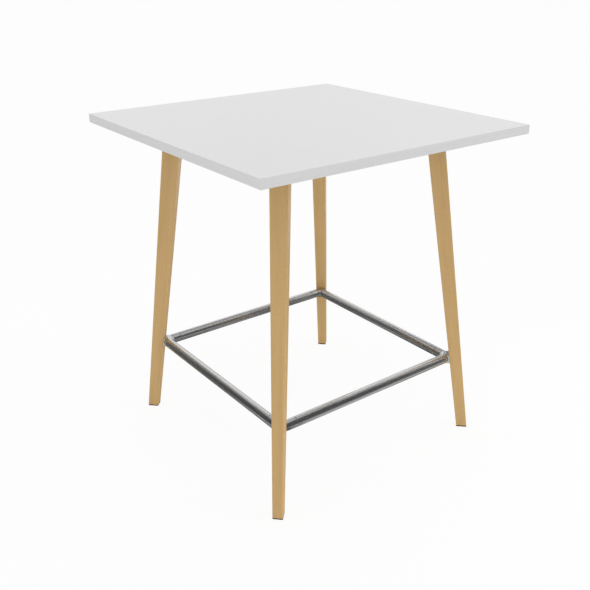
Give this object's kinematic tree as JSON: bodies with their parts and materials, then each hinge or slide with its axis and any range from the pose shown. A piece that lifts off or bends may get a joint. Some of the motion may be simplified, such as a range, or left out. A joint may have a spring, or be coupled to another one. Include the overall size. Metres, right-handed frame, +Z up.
{
  "type": "pub table",
  "caption": "Square bar-height table: edged white panel top on splayed tapered wooden legs, tied low down by a square ring of chromed footrest tube.",
  "frame": {"origin": "on the floor under the centre of the square top", "axes": "+Z up; X and Y along the sides of the top, front edge towards -Y; legs stand on the diagonals"},
  "size_m": [1, 1, 1.1],
  "materials": {
    "white_laminate": "satin",
    "white_edging": "satin",
    "panel_core": "raw chipboard",
    "beech": "clear satin lacquer",
    "plate_steel": "black powder coat",
    "zinc_screws": "bright zinc",
    "black_screws": "black oxide",
    "insert_brass": "turned",
    "black_glide": "moulded",
    "chromed_casting": "polished chrome",
    "chromed_tube": "polished chrome"
  },
  "bodies": {
    "root": {"tabletop_core": "panel_core", "tabletop_laminate": "white_laminate", "tabletop_backer": "white_laminate", "edge_band_front": "white_edging", "edge_band_right": "white_edging", "edge_band_back": "white_edging", "edge_band_left": "white_edging", "leg_front_left": "beech", "leg_plate_front_left": "plate_steel", "plate_screws_front_left": "zinc_screws", "leg_bolts_front_left": "zinc_screws", "leg_inserts_front_left": "insert_brass", "foot_glide_front_left": "black_glide", "glide_screw_front_left": "zinc_screws", "rail_connector_front_left": "chromed_casting", "connector_stud_front_left": "zinc_screws", "connector_grub_screw_front_left": "black_screws", "leg_front_right": "beech", "leg_plate_front_right": "plate_steel", "plate_screws_front_right": "zinc_screws", "leg_bolts_front_right": "zinc_screws", "leg_inserts_front_right": "insert_brass", "foot_glide_front_right": "black_glide", "glide_screw_front_right": "zinc_screws", "rail_connector_front_right": "chromed_casting", "connector_stud_front_right": "zinc_screws", "connector_grub_screw_front_right": "black_screws", "leg_back_right": "beech", "leg_plate_back_right": "plate_steel", "plate_screws_back_right": "zinc_screws", "leg_bolts_back_right": "zinc_screws", "leg_inserts_back_right": "insert_brass", "foot_glide_back_right": "black_glide", "glide_screw_back_right": "zinc_screws", "rail_connector_back_right": "chromed_casting", "connector_stud_back_right": "zinc_screws", "connector_grub_screw_back_right": "black_screws", "leg_back_left": "beech", "leg_plate_back_left": "plate_steel", "plate_screws_back_left": "zinc_screws", "leg_bolts_back_left": "zinc_screws", "leg_inserts_back_left": "insert_brass", "foot_glide_back_left": "black_glide", "glide_screw_back_left": "zinc_screws", "rail_connector_back_left": "chromed_casting", "connector_stud_back_left": "zinc_screws", "connector_grub_screw_back_left": "black_screws", "footrail_tube_front": "chromed_tube", "footrail_tube_right": "chromed_tube", "footrail_tube_back": "chromed_tube", "footrail_tube_left": "chromed_tube"}
  },
  "joints": []
}
